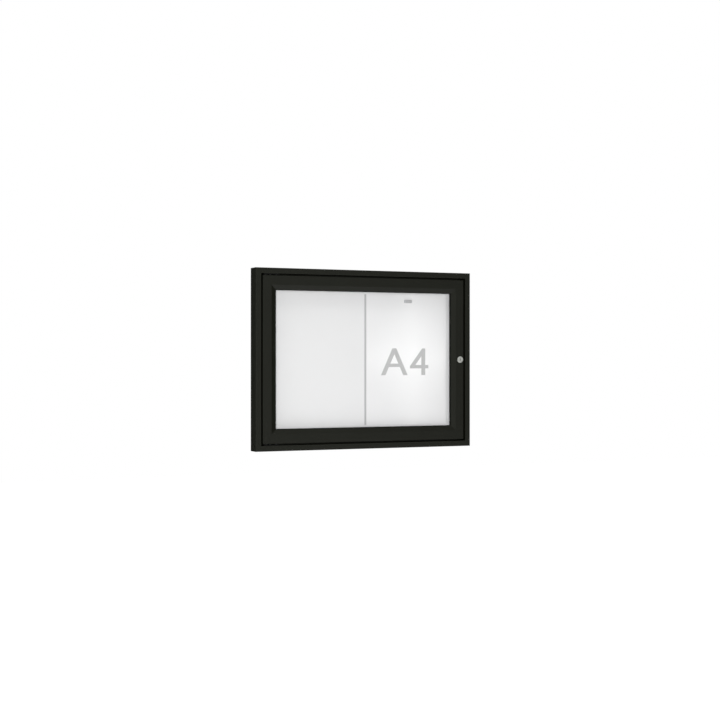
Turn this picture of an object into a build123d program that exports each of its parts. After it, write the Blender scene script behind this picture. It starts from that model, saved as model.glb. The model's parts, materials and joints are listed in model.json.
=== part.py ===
"""Lockable wall notice case for two portrait A4 sheets, with a glazed side-hung door.

The case and the door are mitred frames of hollow aluminium extrusions. The origin is the middle of the
wall plane, +Z is up and the front faces -Y. Sections are drawn with u, the distance inwards from the
outer face of a side, and v, the height above the wall.
"""
import os

from build123d import *

# Paper that the case is made for, and the margin of white panel shown round it
sheet_width = 210.0
sheet_height = 297.0
sheet_thickness = 0.25
margin_sides = 7.0
margin_ends = 4.5
sheet_edge_gap = 1.4

# Case extrusion
case_face = 12.5
case_wall = 1.6
case_edge_radius = 1.5
case_inner_radius = 0.6
case_cleat_arm = 30.0

# Back panel, the rebate in front of it and the rib behind it
panel_standoff = 5.0
panel_thickness = 1.2
panel_edge_gap = 1.0
rebate_thickness = 1.6
groove_rib = 1.4
groove_reach = 4.0
groove_play = 0.1

# Door seal on the rebate
seal_width = 3.6
seal_height = 3.9
seal_wall = 0.8
seal_edge = 0.3
seal_clearance = 0.3

# Door extrusion
door_gap = 4.0
door_recess = 1.6
door_wall = 1.6
door_edge_radius = 0.8
bevel_width = 11.0
bevel_drop = 4.0
lip_thickness = 1.5
lip_skin = 2.0
lip_edge_radius = 0.5
gasket_land = 5.0
bead_rib = 1.2
door_cleat_arm = 38.0
cleat_play = 0.15

# Glass and what holds it
glass_thickness = 4.0
glass_edge_gap = 2.0
gasket_thickness = 1.5
gasket_leg = 0.7
wedge_thickness = 2.0
wedge_width = 5.0
bead_depth = 6.3
bead_setback = 3.0
bead_wall = 1.4
bead_play = 0.1
bead_edge_radius = 1.0
block_length = 40.0
block_spacing = 240.0

# Pivot hinge at the top and bottom of the left stile
pivot_inset = 8.0
pivot_depth = 6.5
pin_diameter = 5.0
pin_entry = 10.0
pin_chamfer = 0.5
pin_push_gap = 0.02
running_gap = 0.05
thrust_gap = 0.1
bush_diameter = 8.0
bush_flange_diameter = 12.0
bush_shank = 12.0
bush_push_gap = 0.05
plate_width = 10.0
plate_thickness = 2.0
plate_screw_offset = 6.0
plate_screw_pitch = 14.0
plate_tail = 7.0

# Pan-head screws of the pivot plates and the lock cover
screw_diameter = 3.0
screw_head_diameter = 5.6
screw_head_height = 1.2
screw_play = 0.05
screw_cross_length = 3.2
screw_cross_width = 0.8
screw_cross_depth = 0.8
plate_screw_length = 8.0
cover_screw_length = 3.5

# Cam lock in the right stile
lock_head_diameter = 14.8
lock_head_height = 1.8
lock_head_chamfer = 0.6
barrel_diameter = 10.0
barrel_flats = 8.6
barrel_play = 0.1
nut_rim = 1.5
nut_thickness = 3.0
nut_outer_gap = 0.9
nut_inner_gap = 3.4
plug_diameter = 7.0
plug_face_diameter = 9.0
plug_face_depth = 1.2
plug_recess = 0.3
key_slot_width = 1.4
key_slot_height = 5.6
key_slot_depth = 6.0
drive_square = 5.0
drive_play = 0.05
cam_thickness = 2.0
cam_hub_radius = 6.0
cam_arm_width = 8.0
cam_engagement = 4.0
cam_gap = 0.1
cam_slot_play = 1.25
cam_screw_diameter = 3.0
cam_screw_length = 6.0
cam_screw_flats = 5.5
cam_screw_head_height = 1.6
cam_screw_room = 0.3
cover_thickness = 1.5
cover_overlap = 0.7
cover_height = 42.0
cover_corner = 2.0
cover_screw_spacing = 34.0
window_height = 26.0

# Wall fixing through the rebate near the corners
wall_hole_diameter = 6.0
wall_hole_play = 1.0
wall_hole_inset = 60.0
spacer_size = 14.0

# Bar magnet that holds the sheet
magnet_length = 18.0
magnet_height = 7.0
magnet_thickness = 4.0
magnet_corner_radius = 1.0
magnet_chamfer = 0.5
magnet_drop = 15.0
magnet_offset = 5.0

# Places across a side, from the outer face inwards
nut_flats = barrel_diameter + 2 * nut_rim
lock_inset = door_wall + nut_outer_gap + nut_flats / 2
door_flat = lock_inset + nut_flats / 2 + nut_inner_gap + door_wall
door_edge = case_face + door_gap
rebate_edge = door_edge + door_flat
opening_inset = rebate_edge + bevel_width
case_width = 2 * (sheet_width + margin_sides + opening_inset)
case_height = sheet_height + 2 * (margin_ends + opening_inset)
opening_half_width = case_width / 2 - opening_inset
glass_inset = rebate_edge + glass_edge_gap
bead_edge = opening_inset - bead_setback
panel_inset = case_face + panel_edge_gap
rebate_middle = (case_face + rebate_edge) / 2

# Heights above the wall
panel_front = panel_standoff + panel_thickness
rebate_front = panel_front + groove_play + rebate_thickness
door_rear = rebate_front + seal_height + seal_clearance
bead_front = door_rear + bead_depth
glass_rear = bead_front + wedge_thickness
glass_front = glass_rear + glass_thickness
lip_rear = glass_front + gasket_thickness
lip_front = lip_rear + lip_thickness
door_front = lip_front + bevel_drop
case_depth = door_front + door_recess

# Hinge axis and lock axis
pivot_x = -case_width / 2 + door_edge + pivot_inset
pivot_v = door_front - pivot_depth
plate_first_screw = case_cleat_arm + plate_screw_offset - door_edge - pivot_inset
plate_screws_x = (plate_first_screw, plate_first_screw + plate_screw_pitch)
lock_x = case_width / 2 - door_edge - lock_inset
cam_rear = door_rear + door_wall + cam_screw_room + cam_screw_head_height
cam_front = cam_rear + cam_thickness
barrel_end = cam_front + cam_gap
cam_reach = lock_inset + door_gap + case_wall + cam_engagement
wall_hole_x = case_width / 2 - wall_hole_inset
wall_hole_z = case_height / 2 - rebate_middle

sides = ("left", "right", "top", "bottom")
inward = {
    "left": Vector(1, 0, 0),
    "right": Vector(-1, 0, 0),
    "top": Vector(0, 0, -1),
    "bottom": Vector(0, 0, 1),
}
to_front = Vector(0, -1, 0)


def is_upright(side):
    return side in ("left", "right")


def along(side):
    return Vector(0, 0, 1) if is_upright(side) else Vector(1, 0, 0)


def outer_face_middle(side):
    return inward[side] * (-case_width / 2 if is_upright(side) else -case_height / 2)


def half_length(side):
    return case_height / 2 if is_upright(side) else case_width / 2


def section_plane(side):
    return Plane(outer_face_middle(side), x_dir=inward[side], z_dir=inward[side].cross(to_front))


def cut_mitres(side):
    for end in (1, -1):
        corner = outer_face_middle(side) + along(side) * end * half_length(side)
        mitre = Plane(corner, z_dir=inward[side] + along(side) * end)
        split(bisect_by=mitre, keep=Keep.BOTTOM)


def facing(x, z, v):
    """Plane parallel to the wall, v above it, seen from the front with +X right and +Z up."""
    return Plane((x, -v, z), x_dir=(1, 0, 0), z_dir=to_front)


def across_pivot(end, u):
    """Level plane on the hinge axis, u below the case's top (end 1) or above its bottom (end -1)."""
    return Plane((pivot_x, -pivot_v, end * (case_height / 2 - u)), x_dir=(1, 0, 0), z_dir=(0, 0, -end))


def area(u0, u1, v0, v1, mode=Mode.ADD):
    with Locations(((u0 + u1) / 2, (v0 + v1) / 2)):
        Rectangle(u1 - u0, v1 - v0, mode=mode)


def round_corner(u, v, radius):
    fillet(vertices().sort_by_distance((u, v, 0))[0], radius)


def write(piece, name):
    piece.part.label = name
    export_step(piece.part, f"parts/{name}.step")


def case_section():
    area(0, case_face, 0, case_depth)
    round_corner(0, case_depth, case_edge_radius)
    round_corner(case_face, case_depth, case_inner_radius)
    area(case_wall, case_face - case_wall, case_wall, case_depth - case_wall, mode=Mode.SUBTRACT)
    area(case_face, rebate_edge, panel_front + groove_play, rebate_front)
    area(case_face, case_face + groove_reach, panel_standoff - groove_rib, panel_standoff)


def door_section():
    area(door_edge, rebate_edge, door_rear, door_front)
    round_corner(door_edge, door_front, door_edge_radius)
    area(
        door_edge + door_wall,
        rebate_edge - door_wall,
        door_rear + door_wall,
        door_front - door_wall,
        mode=Mode.SUBTRACT,
    )
    land = opening_inset - gasket_land
    land_top = door_front - lip_skin - bevel_drop * (land - rebate_edge) / bevel_width
    Polygon(
        (rebate_edge, door_front - lip_skin),
        (land, land_top),
        (land, lip_rear),
        (opening_inset, lip_rear),
        (opening_inset, lip_front),
        (rebate_edge, door_front),
        align=None,
    )
    round_corner(opening_inset, lip_front, lip_edge_radius)
    area(rebate_edge, rebate_edge + bead_rib, door_rear, door_rear + bead_rib)


def seal_section():
    outer = rebate_edge - seal_edge
    crown = rebate_front + seal_height - seal_width / 2
    area(outer - seal_width, outer, rebate_front, crown)
    with Locations((outer - seal_width / 2, crown)):
        Circle(seal_width / 2)
    offset(amount=-seal_wall, mode=Mode.SUBTRACT)


def gasket_section():
    # the foot lies on the glass, and the leg covers the lip's edge
    leg_edge = opening_inset + gasket_leg
    area(opening_inset - gasket_land, leg_edge, glass_front, lip_rear)
    area(opening_inset, leg_edge, lip_rear, lip_front - lip_edge_radius)


def wedge_section():
    area(bead_edge - wedge_width, bead_edge, bead_front, glass_rear)


def bead_section():
    notch = bead_rib + bead_play
    area(rebate_edge, bead_edge, door_rear, bead_front)
    round_corner(bead_edge, door_rear, bead_edge_radius)
    area(rebate_edge, rebate_edge + notch, door_rear, door_rear + notch, mode=Mode.SUBTRACT)
    area(
        rebate_edge + notch + bead_wall,
        bead_edge - bead_wall,
        door_rear + bead_wall,
        bead_front - bead_wall,
        mode=Mode.SUBTRACT,
    )


def cleat_outline(corners, near, far, arm):
    """L-shaped corner cleats between u = near and u = far, with arms that end at u = arm."""
    for x_side, z_side in corners:
        for u_end, w_end in ((arm, far), (far, arm)):
            x = case_width / 2 - (near + u_end) / 2
            z = case_height / 2 - (near + w_end) / 2
            with Locations((x_side * x, z_side * z)):
                Rectangle(u_end - near, w_end - near)


def pan_head_screw(seat, length):
    """Cross-recessed screw whose head stands on the plane seat, with its shank along the plane's -Z."""
    head_top = seat.offset(screw_head_height)
    to_tip = (Align.CENTER, Align.CENTER, Align.MAX)
    with Locations(seat.location):
        Cylinder(screw_diameter / 2, length, align=to_tip)
    with Locations(head_top.location):
        Cylinder(screw_head_diameter / 2, screw_head_height, align=to_tip)
        for turn in (0, 90):
            Box(
                screw_cross_length,
                screw_cross_width,
                screw_cross_depth,
                rotation=(0, 0, turn),
                align=to_tip,
                mode=Mode.SUBTRACT,
            )


os.makedirs("parts", exist_ok=True)

# Case frame: four mitred lengths, with wall holes in the level ones and the cam's slot in the right one
for side in sides:
    with BuildPart() as case_profile:
        with BuildSketch(section_plane(side)):
            case_section()
        extrude(amount=half_length(side), both=True)
        cut_mitres(side)
        if is_upright(side):
            if side == "right":
                slot_x = lock_inset + door_gap
                slot_top = (cam_reach**2 - slot_x**2) ** 0.5 + cam_slot_play
                slot_low = -cam_arm_width / 2 - cam_slot_play
                with BuildSketch(facing(lock_x, 0, cam_rear - cam_slot_play)):
                    area(slot_x, slot_x + case_wall, slot_low, slot_top)
                extrude(amount=cam_thickness + 2 * cam_slot_play, mode=Mode.SUBTRACT)
        else:
            end = 1 if side == "top" else -1
            with BuildSketch(facing(0, end * wall_hole_z, panel_front)):
                with GridLocations(2 * wall_hole_x, 1, 2, 1):
                    Circle((wall_hole_diameter + wall_hole_play) / 2)
            extrude(amount=2 * rebate_thickness, mode=Mode.SUBTRACT)
            with BuildSketch(across_pivot(end, case_face - case_wall)):
                with Locations(*[(x, 0) for x in plate_screws_x]):
                    Circle(screw_diameter / 2 + screw_play)
            extrude(amount=case_wall, mode=Mode.SUBTRACT)
    write(case_profile, f"case_{side}_profile")

with BuildPart() as case_corner_cleats:
    with BuildSketch(facing(0, 0, case_wall + cleat_play)):
        cleat_outline(
            [(1, 1), (-1, 1), (1, -1), (-1, -1)],
            case_wall + cleat_play,
            case_face - case_wall - cleat_play,
            case_cleat_arm,
        )
    extrude(amount=case_depth - 2 * (case_wall + cleat_play))
write(case_corner_cleats, "case_corner_cleats")

# White steel back panel in the groove, and the spacers that carry it off the wall at the fixing holes
with BuildPart() as back_panel:
    with BuildSketch(facing(0, 0, panel_standoff)):
        Rectangle(case_width - 2 * panel_inset, case_height - 2 * panel_inset)
        with GridLocations(2 * wall_hole_x, 2 * wall_hole_z, 2, 2):
            Circle((wall_hole_diameter + wall_hole_play) / 2, mode=Mode.SUBTRACT)
    extrude(amount=panel_thickness)
write(back_panel, "back_panel")

with BuildPart() as wall_spacers:
    with BuildSketch(facing(0, 0, 0)):
        with GridLocations(2 * wall_hole_x, 2 * wall_hole_z, 2, 2):
            Rectangle(spacer_size, spacer_size)
            Circle(wall_hole_diameter / 2, mode=Mode.SUBTRACT)
    extrude(amount=panel_standoff)
write(wall_spacers, "wall_spacers")

# Tubular seal on the rebate, and the door frame with its gaskets and glazing beads, in mitred lengths
for side in sides:
    with BuildPart() as door_seal:
        with BuildSketch(section_plane(side)):
            seal_section()
        extrude(amount=half_length(side), both=True)
        cut_mitres(side)
    write(door_seal, f"door_seal_{side}")

    with BuildPart() as glazing_gasket:
        with BuildSketch(section_plane(side)):
            gasket_section()
        extrude(amount=half_length(side), both=True)
        cut_mitres(side)
    write(glazing_gasket, f"glazing_gasket_{side}")

    with BuildPart() as wedge_gasket:
        with BuildSketch(section_plane(side)):
            wedge_section()
        extrude(amount=half_length(side), both=True)
        cut_mitres(side)
    write(wedge_gasket, f"wedge_gasket_{side}")

    with BuildPart() as glazing_bead:
        with BuildSketch(section_plane(side)):
            bead_section()
        extrude(amount=half_length(side), both=True)
        cut_mitres(side)
    write(glazing_bead, f"glazing_bead_{side}")

with BuildPart() as door_left_stile:
    with BuildSketch(section_plane("left")):
        door_section()
    extrude(amount=half_length("left"), both=True)
    cut_mitres("left")
write(door_left_stile, "door_left_stile")

# Right stile: keyed hole for the lock in front, window for fitting it behind, slot for the cam in the edge
with BuildPart() as door_right_stile:
    with BuildSketch(section_plane("right")):
        door_section()
    extrude(amount=half_length("right"), both=True)
    cut_mitres("right")
    with BuildSketch(facing(lock_x, 0, door_front - door_wall)):
        Circle(barrel_diameter / 2 + barrel_play)
        Rectangle(barrel_flats + 2 * barrel_play, 2 * barrel_diameter, mode=Mode.INTERSECT)
    extrude(amount=door_wall, mode=Mode.SUBTRACT)
    with BuildSketch(facing(lock_x, 0, door_rear)):
        Rectangle(nut_flats, window_height)
        with GridLocations(1, cover_screw_spacing, 1, 2):
            Circle(screw_diameter / 2 + screw_play)
    extrude(amount=door_wall, mode=Mode.SUBTRACT)
    edge_x = lock_inset - door_wall
    edge_top = (cam_reach**2 - edge_x**2) ** 0.5 + cam_slot_play
    with BuildSketch(facing(lock_x, 0, cam_rear - cam_slot_play)):
        area(edge_x, lock_inset, -cam_arm_width / 2 - cam_slot_play, edge_top)
    extrude(amount=cam_thickness + 2 * cam_slot_play, mode=Mode.SUBTRACT)
write(door_right_stile, "door_right_stile")

for side, end in (("top", 1), ("bottom", -1)):
    with BuildPart() as door_rail:
        with BuildSketch(section_plane(side)):
            door_section()
        extrude(amount=half_length(side), both=True)
        cut_mitres(side)
        with BuildSketch(across_pivot(end, door_edge)):
            Circle(bush_diameter / 2 + bush_push_gap)
        extrude(amount=door_wall, mode=Mode.SUBTRACT)
    write(door_rail, f"door_{side}_rail")

# Door cleats: the two on the hinge side are bored for the pivot bushes
cleat_near = door_edge + door_wall + cleat_play
cleat_far = rebate_edge - door_wall - cleat_play
cleat_depth = door_front - door_rear - 2 * (door_wall + cleat_play)
cleat_arm_end = door_edge + door_cleat_arm

with BuildPart() as door_corner_cleats:
    with BuildSketch(facing(0, 0, door_rear + door_wall + cleat_play)):
        cleat_outline([(1, 1), (1, -1)], cleat_near, cleat_far, cleat_arm_end)
    extrude(amount=cleat_depth)
write(door_corner_cleats, "door_corner_cleats")

with BuildPart() as door_pivot_cleats:
    with BuildSketch(facing(0, 0, door_rear + door_wall + cleat_play)):
        cleat_outline([(-1, 1), (-1, -1)], cleat_near, cleat_far, cleat_arm_end)
    extrude(amount=cleat_depth)
    for end in (1, -1):
        with BuildSketch(across_pivot(end, door_edge)):
            Circle(bush_diameter / 2 + bush_push_gap)
        extrude(amount=bush_shank + bush_push_gap, mode=Mode.SUBTRACT)
write(door_pivot_cleats, "door_pivot_cleats")

# Toughened glass on two setting blocks
with BuildPart() as door_glass:
    with BuildSketch(facing(0, 0, glass_rear)):
        Rectangle(case_width - 2 * glass_inset, case_height - 2 * glass_inset)
    extrude(amount=glass_thickness)
write(door_glass, "door_glass")

with BuildPart() as setting_blocks:
    with BuildSketch(facing(0, -case_height / 2 + rebate_edge + glass_edge_gap / 2, glass_rear)):
        with GridLocations(block_spacing, 1, 2, 1):
            Rectangle(block_length, glass_edge_gap)
    extrude(amount=glass_thickness)
write(setting_blocks, "setting_blocks")

# Pivot hinge: plates screwed to the case, each with a pin that turns in a flanged bush in the door
plate_end = plate_screws_x[-1] + plate_tail

for name, end in (("upper", 1), ("lower", -1)):
    with BuildPart() as pivot_plate:
        with BuildSketch(across_pivot(end, case_face)):
            Circle(plate_width / 2)
            area(0, plate_end, -plate_width / 2, plate_width / 2)
            Circle(pin_diameter / 2 + pin_push_gap, mode=Mode.SUBTRACT)
            with Locations(*[(x, 0) for x in plate_screws_x]):
                Circle(screw_diameter / 2 + screw_play, mode=Mode.SUBTRACT)
        extrude(amount=plate_thickness)
    write(pivot_plate, f"{name}_pivot_plate")

    with BuildPart() as pivot_pin:
        with BuildSketch(across_pivot(end, case_face)):
            Circle(pin_diameter / 2)
        extrude(amount=door_gap + pin_entry)
        tip = across_pivot(end, door_edge + pin_entry).origin
        chamfer(edges().filter_by(GeomType.CIRCLE).sort_by_distance(tip)[0], pin_chamfer)
    write(pivot_pin, f"{name}_pivot_pin")

    with BuildPart() as pivot_bush:
        with BuildSketch(across_pivot(end, case_face + plate_thickness + thrust_gap)):
            Circle(bush_flange_diameter / 2)
        extrude(amount=door_gap - plate_thickness - thrust_gap)
        with BuildSketch(across_pivot(end, door_edge)):
            Circle(bush_diameter / 2)
        extrude(amount=bush_shank)
        with BuildSketch(across_pivot(end, case_face)):
            Circle(pin_diameter / 2 + running_gap)
        extrude(amount=door_gap + pin_entry + thrust_gap, mode=Mode.SUBTRACT)
    write(pivot_bush, f"{name}_pivot_bush")

with BuildPart() as pivot_plate_screws:
    for end in (1, -1):
        for x in plate_screws_x:
            face = across_pivot(end, case_face + plate_thickness)
            pan_head_screw(Plane(face.location * Location((x, 0, 0))), plate_screw_length)
write(pivot_plate_screws, "pivot_plate_screws")

# Cam lock: body and nut in the stile, plug with its cam and screw turning in the body, cover behind
with BuildPart() as lock_body:
    with BuildSketch(facing(lock_x, 0, door_front)):
        Circle(lock_head_diameter / 2)
    extrude(amount=lock_head_height)
    chamfer(edges().group_by(Axis.Y)[0], lock_head_chamfer)
    with BuildSketch(facing(lock_x, 0, barrel_end)):
        Circle(barrel_diameter / 2)
        Rectangle(barrel_flats, 2 * barrel_diameter, mode=Mode.INTERSECT)
    extrude(amount=door_front - barrel_end)
    with BuildSketch(facing(lock_x, 0, barrel_end)):
        Circle(plug_diameter / 2 + running_gap)
    extrude(amount=door_front + lock_head_height - barrel_end, mode=Mode.SUBTRACT)
    with BuildSketch(facing(lock_x, 0, door_front + lock_head_height - plug_recess - plug_face_depth)):
        Circle(plug_face_diameter / 2 + running_gap)
    extrude(amount=plug_recess + plug_face_depth, mode=Mode.SUBTRACT)
write(lock_body, "lock_body")

with BuildPart() as lock_nut:
    with BuildSketch(facing(lock_x, 0, door_front - door_wall - nut_thickness)):
        RegularPolygon(nut_flats / 2, 6, major_radius=False, rotation=30)
        Circle(barrel_diameter / 2 + barrel_play, mode=Mode.SUBTRACT)
    extrude(amount=nut_thickness)
write(lock_nut, "lock_nut")

with BuildPart() as lock_plug:
    with BuildSketch(facing(lock_x, 0, cam_rear)):
        Rectangle(drive_square, drive_square)
    extrude(amount=barrel_end - cam_rear)
    plug_shoulder = door_front + lock_head_height - plug_recess - plug_face_depth + running_gap
    with BuildSketch(facing(lock_x, 0, barrel_end)):
        Circle(plug_diameter / 2)
    extrude(amount=plug_shoulder - barrel_end)
    with BuildSketch(facing(lock_x, 0, plug_shoulder)):
        Circle(plug_face_diameter / 2)
    extrude(amount=plug_face_depth - running_gap)
    with BuildSketch(facing(lock_x, 0, door_front + lock_head_height - plug_recess - key_slot_depth)):
        Rectangle(key_slot_width, key_slot_height)
    extrude(amount=key_slot_depth, mode=Mode.SUBTRACT)
    with BuildSketch(facing(lock_x, 0, cam_rear)):
        Circle(cam_screw_diameter / 2 + screw_play)
    extrude(amount=cam_screw_length, mode=Mode.SUBTRACT)
write(lock_plug, "lock_plug")

with BuildPart() as lock_cam:
    with BuildSketch(facing(lock_x, 0, cam_rear)):
        Circle(cam_hub_radius)
        area(-cam_arm_width / 2, cam_arm_width / 2, 0, cam_reach - cam_arm_width / 2)
        with Locations((0, cam_reach - cam_arm_width / 2)):
            Circle(cam_arm_width / 2)
        Rectangle(drive_square + 2 * drive_play, drive_square + 2 * drive_play, mode=Mode.SUBTRACT)
    extrude(amount=cam_thickness)
write(lock_cam, "lock_cam")

with BuildPart() as cam_screw:
    with BuildSketch(facing(lock_x, 0, cam_rear - cam_screw_head_height)):
        RegularPolygon(cam_screw_flats / 2, 6, major_radius=False)
    extrude(amount=cam_screw_head_height)
    with BuildSketch(facing(lock_x, 0, cam_rear)):
        Circle(cam_screw_diameter / 2)
    extrude(amount=cam_screw_length - screw_play)
write(cam_screw, "cam_screw")

cover_rear = door_rear - cover_thickness
with BuildPart() as lock_cover:
    with BuildSketch(facing(lock_x, 0, cover_rear)):
        Rectangle(nut_flats + 2 * cover_overlap, cover_height)
        chamfer(vertices(), cover_corner)
        with GridLocations(1, cover_screw_spacing, 1, 2):
            Circle(screw_diameter / 2 + screw_play, mode=Mode.SUBTRACT)
    extrude(amount=cover_thickness)
write(lock_cover, "lock_cover")

with BuildPart() as lock_cover_screws:
    for z in (cover_screw_spacing / 2, -cover_screw_spacing / 2):
        pan_head_screw(Plane((lock_x, -cover_rear, z), x_dir=(1, 0, 0), z_dir=-to_front), cover_screw_length)
write(lock_cover_screws, "lock_cover_screws")

# Notice sheet on the right half of the panel, under its magnet
sheet_x = opening_half_width - sheet_edge_gap - sheet_width / 2
with BuildPart() as notice_sheet:
    with BuildSketch(facing(sheet_x, 0, panel_front)):
        Rectangle(sheet_width, sheet_height)
    extrude(amount=sheet_thickness)
write(notice_sheet, "notice_sheet")

with BuildPart() as sheet_magnet:
    magnet_z = sheet_height / 2 - magnet_drop
    with BuildSketch(facing(sheet_x + magnet_offset, magnet_z, panel_front + sheet_thickness)):
        RectangleRounded(magnet_length, magnet_height, magnet_corner_radius)
    extrude(amount=magnet_thickness)
    chamfer(edges().group_by(Axis.Y)[0], magnet_chamfer)
write(sheet_magnet, "sheet_magnet")
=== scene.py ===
import json
import math

import bmesh
import bpy
from mathutils import Matrix, Vector


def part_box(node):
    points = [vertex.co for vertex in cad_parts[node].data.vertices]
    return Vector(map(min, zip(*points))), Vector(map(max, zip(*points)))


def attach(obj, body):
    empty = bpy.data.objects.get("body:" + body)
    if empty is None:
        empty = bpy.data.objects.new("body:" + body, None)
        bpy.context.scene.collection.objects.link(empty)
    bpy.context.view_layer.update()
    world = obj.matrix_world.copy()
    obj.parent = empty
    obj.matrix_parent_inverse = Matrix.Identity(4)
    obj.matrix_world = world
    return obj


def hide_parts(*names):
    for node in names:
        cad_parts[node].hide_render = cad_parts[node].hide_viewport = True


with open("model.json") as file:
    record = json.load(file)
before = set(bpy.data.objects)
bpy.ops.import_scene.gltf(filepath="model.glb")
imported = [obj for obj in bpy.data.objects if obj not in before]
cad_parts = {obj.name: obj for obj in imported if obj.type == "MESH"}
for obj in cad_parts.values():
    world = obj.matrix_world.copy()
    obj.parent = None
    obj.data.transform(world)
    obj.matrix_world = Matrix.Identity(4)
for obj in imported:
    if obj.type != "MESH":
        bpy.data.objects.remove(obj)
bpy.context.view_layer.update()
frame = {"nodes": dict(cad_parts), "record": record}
sheetLow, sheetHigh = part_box("notice_sheet")
quarterTurn = math.radians(90)
print("frame loaded with", len(frame["nodes"]), "nodes")


# Shader building blocks: patterns lie on Object coordinates, in metres

# most of what a noise node gives lies in this range
noiseRange = (0.3, 0.7)
noiseDetail = {"clouds": 3.0, "grain": 2.0, "peel": 1.0, "smears": 4.0, "fibres": 4.0}

# a Mix node has several sockets of one name, and these are the colour ones
mixSockets = {"first": 6, "second": 7, "result": 2}


def startMaterial(name):
    material = bpy.data.materials.new(name)
    material.use_nodes = True
    tree = material.node_tree
    return material, tree, tree.nodes["Principled BSDF"]


def objectCoords(tree, stretch=(1, 1, 1), centre=(0, 0, 0)):
    coords = tree.nodes.new("ShaderNodeTexCoord")
    place = tree.nodes.new("ShaderNodeMapping")
    place.inputs["Scale"].default_value = stretch
    place.inputs["Location"].default_value = [-c * s for c, s in zip(centre, stretch)]
    tree.links.new(coords.outputs["Object"], place.inputs["Vector"])
    return place.outputs["Vector"]


def splitCoords(tree, *placing):
    split = tree.nodes.new("ShaderNodeSeparateXYZ")
    tree.links.new(objectCoords(tree, *placing), split.inputs["Vector"])
    return split.outputs


def grain(tree, perMetre, detail, stretch=(1, 1, 1)):
    noise = tree.nodes.new("ShaderNodeTexNoise")
    noise.inputs["Scale"].default_value = perMetre
    noise.inputs["Detail"].default_value = detail
    tree.links.new(objectCoords(tree, stretch), noise.inputs["Vector"])
    return noise.outputs["Fac"]


def remap(tree, value, low, high, start=noiseRange[0], end=noiseRange[1]):
    span = tree.nodes.new("ShaderNodeMapRange")
    for socket, number in (("From Min", start), ("From Max", end), ("To Min", low), ("To Max", high)):
        span.inputs[socket].default_value = number
    tree.links.new(value, span.inputs["Value"])
    return span.outputs["Result"]


def compute(tree, operation, *values):
    # one Math node; each value is a number or the output of another node
    node = tree.nodes.new("ShaderNodeMath")
    node.operation = operation
    for socket, value in zip(node.inputs, values):
        if isinstance(value, bpy.types.NodeSocket):
            tree.links.new(value, socket)
        else:
            socket.default_value = value
    return node.outputs["Value"]


def mixColours(tree, share, first, second):
    mix = tree.nodes.new("ShaderNodeMix")
    mix.data_type = "RGBA"
    tree.links.new(share, mix.inputs["Factor"])
    for end, colour in (("first", first), ("second", second)):
        socket = mix.inputs[mixSockets[end]]
        if isinstance(colour, tuple):
            socket.default_value = (*colour, 1)
        else:
            tree.links.new(colour, socket)
    return mix.outputs[mixSockets["result"]]


def addBump(tree, shader, height, depth):
    bump = tree.nodes.new("ShaderNodeBump")
    bump.inputs["Distance"].default_value = depth
    tree.links.new(height, bump.inputs["Height"])
    tree.links.new(bump.outputs["Normal"], shader.inputs["Normal"])


def grainedFinish(name, look):
    # cloudy colour, uneven gloss and a fine raised grain, as one look dictionary gives them
    material, tree, shader = startMaterial(name)
    shader.inputs["Metallic"].default_value = look.get("metallic", 0.0)
    shader.inputs["Specular IOR Level"].default_value = look.get("shine", 0.5)
    clouds = grain(tree, look["cloudsPerMetre"], noiseDetail["clouds"])
    colour = mixColours(tree, remap(tree, clouds, 0, 1), *look["colours"])
    stretch = look.get("stretch", (1, 1, 1))
    fine = grain(tree, look["grainPerMetre"], noiseDetail["grain"], stretch)
    tree.links.new(colour, shader.inputs["Base Color"])
    tree.links.new(remap(tree, fine, *look["roughness"]), shader.inputs["Roughness"])
    addBump(tree, shader, fine, look["grainDepth"])
    return material


# Finishes of the case, one dictionary each

finishes = {}

powderCoat = {
    "colours": ((0.0053, 0.0058, 0.0034), (0.0063, 0.0069, 0.0042)),
    "cloudsPerMetre": 24,
    "grainPerMetre": 1500,
    "grainDepth": 0.00003,
    "roughness": (0.38, 0.46),
    "shine": 0.18,
}
finishes["frame_paint"] = grainedFinish("blackPowderCoat", powderCoat)

blackEnamel = {
    "colours": ((0.0040, 0.0040, 0.0036), (0.0060, 0.0060, 0.0054)),
    "cloudsPerMetre": 90,
    "grainPerMetre": 2400,
    "grainDepth": 0.000015,
    "roughness": (0.55, 0.66),
    "shine": 0.1,
}
finishes["pivot_black"] = grainedFinish("blackPlateEnamel", blackEnamel)

blackZinc = {
    "colours": ((0.020, 0.020, 0.021), (0.034, 0.034, 0.036)),
    "cloudsPerMetre": 400,
    "grainPerMetre": 3000,
    "grainDepth": 0.00001,
    "roughness": (0.34, 0.46),
    "metallic": 0.6,
}
finishes["screw_black"] = grainedFinish("blackZincScrew", blackZinc)

softRubber = {
    "colours": ((0.0036, 0.0036, 0.0036), (0.0056, 0.0056, 0.0056)),
    "cloudsPerMetre": 120,
    "grainPerMetre": 1800,
    "grainDepth": 0.00003,
    "roughness": (0.66, 0.80),
    "shine": 0.06,
}
finishes["seal_rubber"] = grainedFinish("blackSealRubber", softRubber)

castAlloy = {
    "colours": ((0.42, 0.42, 0.43), (0.56, 0.56, 0.57)),
    "cloudsPerMetre": 260,
    "grainPerMetre": 1400,
    "grainDepth": 0.00008,
    "roughness": (0.42, 0.60),
    "metallic": 1.0,
}
finishes["cleat_alloy"] = grainedFinish("castCleatAlloy", castAlloy)

zincPlate = {
    "colours": ((0.46, 0.47, 0.48), (0.60, 0.61, 0.62)),
    "cloudsPerMetre": 300,
    "grainPerMetre": 2200,
    "stretch": (0.12, 1, 1),
    "grainDepth": 0.00001,
    "roughness": (0.26, 0.40),
    "metallic": 1.0,
}
finishes["pin_steel"] = grainedFinish("zincPlatedSteel", zincPlate)

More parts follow.
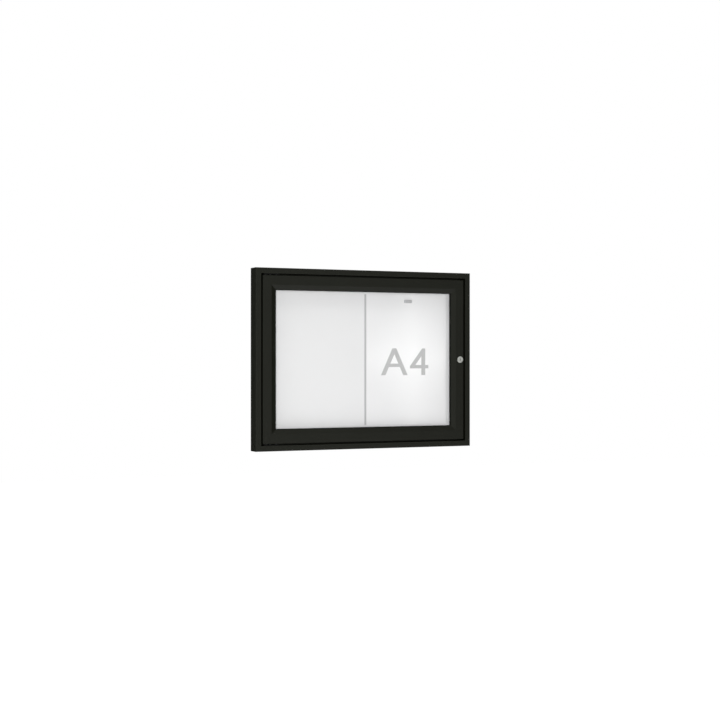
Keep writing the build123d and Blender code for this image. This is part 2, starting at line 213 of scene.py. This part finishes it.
satinNickel = {
    "colours": ((0.43, 0.44, 0.41), (0.50, 0.51, 0.48)),
    "cloudsPerMetre": 220,
    "grainPerMetre": 3200,
    "grainDepth": 0.000006,
    "roughness": (0.26, 0.36),
    "metallic": 1.0,
}
finishes["lock_nickel"] = grainedFinish("satinNickelPlate", satinNickel)

blackNylon = {
    "colours": ((0.0040, 0.0040, 0.0038), (0.0060, 0.0060, 0.0057)),
    "cloudsPerMetre": 160,
    "grainPerMetre": 2600,
    "grainDepth": 0.00002,
    "roughness": (0.50, 0.62),
    "shine": 0.1,
}
finishes["bush_nylon"] = grainedFinish("blackBushNylon", blackNylon)

mouldedBlack = {
    "colours": ((0.009, 0.009, 0.009), (0.014, 0.014, 0.014)),
    "cloudsPerMetre": 110,
    "grainPerMetre": 1900,
    "grainDepth": 0.00003,
    "roughness": (0.52, 0.66),
    "shine": 0.35,
}
finishes["black_plastic"] = grainedFinish("mouldedBlackPlastic", mouldedBlack)

magnetCase = {
    "colours": ((0.40, 0.40, 0.41), (0.45, 0.45, 0.46)),
    "cloudsPerMetre": 180,
    "grainPerMetre": 2600,
    "grainDepth": 0.00002,
    "roughness": (0.42, 0.52),
}
finishes["magnet_grey"] = grainedFinish("greyMagnetCase", magnetCase)

panelLacquer = {
    "front": ((0.748, 0.748, 0.750), (0.762, 0.762, 0.764)),
    "rear": ((0.30, 0.31, 0.32), (0.36, 0.37, 0.38)),
    "rearFrom": 0.8,
    "cloudsPerMetre": 6,
    "peelPerMetre": 420,
    "peelDepth": 0.00001,
    "roughness": (0.40, 0.48),
    "shine": 0.4,
}


def panelFinish(look):
    # white lacquer in front; the grey back coat shows on the wall side
    material, tree, shader = startMaterial("whiteLacquerPanel")
    shader.inputs["Specular IOR Level"].default_value = look["shine"]
    low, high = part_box("back_panel")
    clouds = grain(tree, look["cloudsPerMetre"], noiseDetail["clouds"])
    share = remap(tree, clouds, 0, 1)
    white = mixColours(tree, share, *look["front"])
    grey = mixColours(tree, share, *look["rear"])
    behind = remap(tree, splitCoords(tree)["Y"], 0, 1, low.y, high.y)
    rearOnly = compute(tree, "GREATER_THAN", behind, look["rearFrom"])
    colour = mixColours(tree, rearOnly, white, grey)
    tree.links.new(colour, shader.inputs["Base Color"])
    peel = grain(tree, look["peelPerMetre"], noiseDetail["peel"])
    tree.links.new(remap(tree, peel, *look["roughness"]), shader.inputs["Roughness"])
    addBump(tree, shader, peel, look["peelDepth"])
    return material


finishes["panel_white"] = panelFinish(panelLacquer)

clearPane = {
    "tint": (0.991, 0.993, 0.992),
    "passes": (0.980, 0.980, 0.980),
    "roughness": (0.0, 0.02),
    "index": 1.5,
    "smearsPerMetre": 9,
}


def glassFinish(look):
    # lamps and soft light pass straight through, and what is seen is bent and mirrored by the pane
    material, tree, shader = startMaterial("clearDoorGlass")
    shader.inputs["Base Color"].default_value = (*look["tint"], 1)
    shader.inputs["IOR"].default_value = look["index"]
    shader.inputs["Transmission Weight"].default_value = 1.0
    smears = grain(tree, look["smearsPerMetre"], noiseDetail["smears"])
    tree.links.new(remap(tree, smears, *look["roughness"]), shader.inputs["Roughness"])
    path = tree.nodes.new("ShaderNodeLightPath")
    straight = compute(tree, "MAXIMUM", path.outputs["Is Shadow Ray"], path.outputs["Is Diffuse Ray"])
    clear = tree.nodes.new("ShaderNodeBsdfTransparent")
    clear.inputs["Color"].default_value = (*look["passes"], 1)
    choice = tree.nodes.new("ShaderNodeMixShader")
    tree.links.new(straight, choice.inputs[0])
    tree.links.new(shader.outputs[0], choice.inputs[1])
    tree.links.new(clear.outputs[0], choice.inputs[2])
    output = tree.nodes["Material Output"]
    tree.links.new(choice.outputs[0], output.inputs["Surface"])
    return material


finishes["door_glass"] = glassFinish(clearPane)

noticePaper = {
    # the middle colour is a painted highlight and the corner colour is painted shade
    "middle": (0.948, 0.948, 0.948),
    "paper": (0.852, 0.852, 0.854),
    "corner": (0.794, 0.794, 0.797),
    # painted shadow down the sheet's left edge, where the curled edge would shade the panel
    "paintedEdgeShadow": (0.44, 0.44, 0.445),
    "edgeShadowWidth": 0.0047,
    "paintedHighlightCentre": (0.018, 0, 0.005),
    "paintedHighlightReach": 0.108,
    "cornerReach": 0.47,
    "fibresPerMetre": 900,
    "fibreDepth": 0.00002,
    "roughness": (0.72, 0.84),
    "shine": 0.2,
}


def paperFinish(look):
    # painted highlight in the middle, painted shade towards the corners and a painted shadow down the
    # left edge
    material, tree, shader = startMaterial("noticePaperPaintedLight")
    shader.inputs["Specular IOR Level"].default_value = look["shine"]
    centre = (sheetLow + sheetHigh) / 2 + Vector(look["paintedHighlightCentre"])
    reach = look["paintedHighlightReach"]
    # painted highlight: the sheet is paler around a centre and fades out over the reach
    glow = tree.nodes.new("ShaderNodeTexGradient")
    glow.gradient_type = "SPHERICAL"
    tree.links.new(objectCoords(tree, (1 / reach, 0, 1 / reach), centre), glow.inputs["Vector"])
    white = mixColours(tree, glow.outputs["Fac"], look["paper"], look["middle"])

    # the painted corner shade grows with the distance across times the distance up, which leaves a
    # pale cross
    half = (sheetHigh - sheetLow) / 2
    offset = splitCoords(tree, (1 / half.x, 0, 1 / half.z), centre)
    cornerward = compute(tree, "ABSOLUTE", compute(tree, "MULTIPLY", offset["X"], offset["Z"]))
    share = remap(tree, cornerward, 0, 1, 0, look["cornerReach"])
    cornerShaded = mixColours(tree, share, white, look["corner"])

    # painted shadow: a grey strip of the given width down the sheet's left edge
    edgeShadowStrip = compute(tree, "LESS_THAN", splitCoords(tree)["X"], sheetLow.x + look["edgeShadowWidth"])
    colour = mixColours(tree, edgeShadowStrip, cornerShaded, look["paintedEdgeShadow"])
    tree.links.new(colour, shader.inputs["Base Color"])
    fibres = grain(tree, look["fibresPerMetre"], noiseDetail["fibres"])
    tree.links.new(remap(tree, fibres, *look["roughness"]), shader.inputs["Roughness"])
    addBump(tree, shader, fibres, look["fibreDepth"])
    return material


finishes["sheet_paper"] = paperFinish(noticePaper)

for part in frame["record"]["subparts"]:
    frame["nodes"][part["node"]].material_slots[0].material = finishes[part["material_slot"]]
print("finishes on the CAD nodes:", len(finishes))


# New pieces

def unitGrid(columns=1, rows=1):
    # a flat square with sides of 1 m
    bm = bmesh.new()
    bmesh.ops.create_grid(bm, x_segments=columns, y_segments=rows, size=0.5)
    return bm


def linkMesh(name, bm, material):
    mesh = bpy.data.meshes.new(name)
    bm.to_mesh(mesh)
    bm.free()
    mesh.materials.append(material)
    item = bpy.data.objects.new(name, mesh)
    bpy.context.scene.collection.objects.link(item)
    return item


def makePiece(name, bm, material, body):
    piece = linkMesh(name, bm, material)
    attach(piece, body)
    return piece


paperSheet = {
    "columns": 42,
    "rows": 54,
    "edgeLift": 0.0004,
    "liftReach": 0.014,
}


def buildSheet(look):
    # flat against the panel, with its left edge curled forward a little
    middle = (sheetLow + sheetHigh) / 2
    size = sheetHigh - sheetLow
    bm = unitGrid(look["columns"], look["rows"])
    bmesh.ops.scale(bm, vec=(size.x, size.z, 1), verts=bm.verts)
    upright = Matrix.Rotation(quarterTurn, 3, "X")
    bmesh.ops.rotate(bm, matrix=upright, verts=bm.verts)
    bmesh.ops.translate(bm, vec=(middle.x, sheetLow.y, middle.z), verts=bm.verts)
    for vert in bm.verts:
        curl = max(0.0, 1 - (vert.co.x - sheetLow.x) / look["liftReach"])
        vert.co.y -= look["edgeLift"] * curl**2
    bmesh.ops.solidify(bm, geom=bm.faces[:], thickness=size.y)
    return makePiece("paperNotice", bm, finishes["sheet_paper"], "case")


sheet = buildSheet(paperSheet)
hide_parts("notice_sheet")
print("paper sheet built")

sizeMark = {
    "ink": {
        "colours": ((0.455, 0.455, 0.455), (0.483, 0.483, 0.483)),
        "cloudsPerMetre": 60,
        "grainPerMetre": 1200,
        "grainDepth": 0.00001,
        "roughness": (0.60, 0.72),
        "shine": 0.2,
    },
    "height": 0.0615,
    "base": -0.0358,
    "thickness": 0.0001,
    "letterLeft": 0.0417,
    "letterWidth": 0.0677,
    "letterApex": 0.0100,
    "letterFoot": 0.0112,
    "letterBar": (0.0189, 0.0265),
    "digitLeft": 0.1153,
    "digitWidth": 0.0477,
    "digitStem": (0.0296, 0.0396),
    "digitBar": (0.0156, 0.0233),
    "digitTip": 0.0205,
    "digitTop": 0.0316,
    "digitStroke": 0.0118,
}


def letterOutlines(look):
    # the letter's outer outline and the counter above its crossbar
    width, height, foot = look["letterWidth"], look["height"], look["letterFoot"]
    apex, (barLow, barHigh) = look["letterApex"], look["letterBar"]
    lean = (width - apex) / 2 / height
    outer = [
        (0, 0),
        (foot, 0),
        (foot + lean * barLow, barLow),
        (width - foot - lean * barLow, barLow),
        (width - foot, 0),
        (width, 0),
        ((width + apex) / 2, height),
        ((width - apex) / 2, height),
    ]
    counter = [
        (foot + lean * barHigh, barHigh),
        (width - foot - lean * barHigh, barHigh),
        (width / 2, (width / 2 - foot) / lean),
    ]
    return outer, counter


def digitOutlines(look):
    # the digit's outer outline and the counter between its slope, stem and bar
    width, height, tip = look["digitWidth"], look["height"], look["digitTip"]
    (stemLeft, stemRight), (barLow, barHigh) = look["digitStem"], look["digitBar"]
    lean = look["digitTop"] / (height - tip)
    outer = [
        (0, barLow),
        (stemLeft, barLow),
        (stemLeft, 0),
        (stemRight, 0),
        (stemRight, barLow),
        (width, barLow),
        (width, barHigh),
        (stemRight, barHigh),
        (stemRight, height),
        (look["digitTop"], height),
        (0, tip),
    ]
    counter = [
        (look["digitStroke"] + lean * (barHigh - tip), barHigh),
        (stemLeft, barHigh),
        (stemLeft, tip + (stemLeft - look["digitStroke"]) / lean),
    ]
    return outer, counter


def buildSizeMark(look):
    # printed paper-size mark: two flat characters of ink on the sheet's face
    bm = bmesh.new()
    for left, outlines in (
        (look["letterLeft"], letterOutlines(look)),
        (look["digitLeft"], digitOutlines(look)),
    ):
        edges = []
        for outline in outlines:
            places = [(sheetLow.x + left + x, sheetLow.y, look["base"] + z) for x, z in outline]
            corners = [bm.verts.new(place) for place in places]
            for start, end in zip(corners, corners[1:] + corners[:1]):
                edges.append(bm.edges.new((start, end)))
        bmesh.ops.triangle_fill(bm, edges=edges, use_beauty=True, use_dissolve=True)
    printed = bmesh.ops.extrude_face_region(bm, geom=bm.faces[:])
    raised = [item for item in printed["geom"] if isinstance(item, bmesh.types.BMVert)]
    bmesh.ops.translate(bm, vec=(0, -look["thickness"], 0), verts=raised)
    bmesh.ops.recalc_face_normals(bm, faces=bm.faces[:])
    ink = grainedFinish("greyPrintInk", look["ink"])
    makePiece("paperSizeMark", bm, ink, "case")


buildSizeMark(sizeMark)
print("paper-size mark printed")


# Camera, light, floor and background

cameraView = {
    "distance": 3.123,
    "yaw": 24.33,
    "shiftRight": 0.01516,
    "shiftUp": 0.00098,
    "lens": 69.3,
    "sensorWidth": 36,
}


def placeCamera(look):
    # level camera in front and to the left of the case, at its middle height
    yaw = math.radians(look["yaw"])
    ahead = Vector((math.sin(yaw), math.cos(yaw), 0))
    right = Vector((math.cos(yaw), -math.sin(yaw), 0))
    front = Vector((0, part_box("case_left_profile")[0].y, 0))
    data = bpy.data.cameras.new("photoCamera")
    data.lens = look["lens"]
    data.sensor_width = look["sensorWidth"]
    camera = bpy.data.objects.new("photoCamera", data)
    camera.location = front - ahead * look["distance"] - right * look["shiftRight"]
    camera.location.z -= look["shiftUp"]
    camera.rotation_euler = (quarterTurn, 0, -yaw)
    bpy.context.scene.collection.objects.link(camera)
    bpy.context.scene.camera = camera


placeCamera(cameraView)

studioLamps = {
    "keyLamp": {"place": (-1.5, -3.35, 0.1), "size": 0.9, "power": 75},
    "frontLamp": {"place": (0.5, -3.4, -0.5), "size": 0.5, "power": 14.5},
    "topLamp": {"place": (-0.6, -0.9, 2.8), "size": 2.0, "power": 46},
    "sideLamp": {"place": (-3.0, -0.7, 0.8), "size": 1.5, "power": 18},
    "rearLamp": {"place": (0.6, 3.4, 1.2), "size": 2.0, "power": 60},
}


def hangLamp(name, look):
    # soft square lamp aimed at the case, unseen in mirrors and through the pane
    data = bpy.data.lights.new(name, "AREA")
    data.size = look["size"]
    data.energy = look["power"]
    lamp = bpy.data.objects.new(name, data)
    lamp.location = look["place"]
    lamp.visible_glossy = False
    lamp.visible_transmission = False
    lamp.rotation_euler = (-Vector(look["place"])).to_track_quat("-Z", "Y").to_euler()
    bpy.context.scene.collection.objects.link(lamp)


for lampName, lampLook in studioLamps.items():
    hangLamp(lampName, lampLook)

darkFlags = {
    "rearLeftFlag": {
        "place": (-1.3, 2.8, 0),
        "width": 4.0,
        "height": 6.0,
        "grey": 0.07,
        "roughness": 1.0,
    },
    "rightFlag": {
        "place": (2.84, -0.98, 0),
        "width": 3.8,
        "height": 6.0,
        "grey": 0.005,
        "roughness": 1.0,
    },
}


def mattGrey(name, grey, roughness):
    material, tree, shader = startMaterial(name)
    shader.inputs["Base Color"].default_value = (grey, grey, grey, 1)
    shader.inputs["Roughness"].default_value = roughness
    shader.inputs["Specular IOR Level"].default_value = 0
    return material, tree, shader


def hangFlag(name, look):
    # dark card out of the picture, which keeps the painted sides from mirroring the white room
    bm = unitGrid()
    bmesh.ops.scale(bm, vec=(look["width"], look["height"], 1), verts=bm.verts)
    turn = (-Vector(look["place"])).to_track_quat("Z", "Y").to_matrix()
    bmesh.ops.rotate(bm, matrix=turn, verts=bm.verts)
    bmesh.ops.translate(bm, vec=look["place"], verts=bm.verts)
    cloth = mattGrey(name + "Cloth", look["grey"], look["roughness"])[0]
    flag = linkMesh(name, bm, cloth)
    flag.visible_camera = False
    flag.visible_transmission = False
    flag.visible_diffuse = False
    flag.visible_shadow = False


for flagName, flagLook in darkFlags.items():
    hangFlag(flagName, flagLook)

studioRoom = {
    "fill": 0.16,
    "white": 1.0,
    "floorDrop": 1.3,
    "floorSize": 24,
    "floorColour": 0.85,
    "floorRoughness": 0.9,
    "floorGlow": 0.89,
}


def seenDirectly(tree):
    # 1 for rays that show the background: straight from the camera, mirrored or through glass
    path = tree.nodes.new("ShaderNodeLightPath")
    seen = path.outputs["Is Camera Ray"]
    for other in ("Is Glossy Ray", "Is Transmission Ray"):
        seen = compute(tree, "MAXIMUM", seen, path.outputs[other])
    return seen


def lightWorld(look):
    # white where it is seen, and dim as a light
    world = bpy.data.worlds.new("whiteStudio")
    bpy.context.scene.world = world
    world.use_nodes = True
    tree = world.node_tree
    background = tree.nodes["Background"]
    background.inputs["Color"].default_value = (1, 1, 1, 1)
    strength = remap(tree, seenDirectly(tree), look["fill"], look["white"], 0, 1)
    tree.links.new(strength, background.inputs["Strength"])


def layFloor(look):
    # pale and plain; its glow, which lights nothing, brings it up to the white of the background
    material, tree, shader = mattGrey("paleFloor", look["floorColour"], look["floorRoughness"])
    shader.inputs["Emission Color"].default_value = (1, 1, 1, 1)
    glow = remap(tree, seenDirectly(tree), 0, look["floorGlow"], 0, 1)
    tree.links.new(glow, shader.inputs["Emission Strength"])
    bm = unitGrid()
    bmesh.ops.scale(bm, vec=(look["floorSize"], look["floorSize"], 1), verts=bm.verts)
    bmesh.ops.translate(bm, vec=(0, 0, -look["floorDrop"]), verts=bm.verts)
    linkMesh("studioFloor", bm, material)


lightWorld(studioRoom)
layFloor(studioRoom)
bpy.context.scene.view_settings.view_transform = "Standard"
print("camera, lamps and studio set")
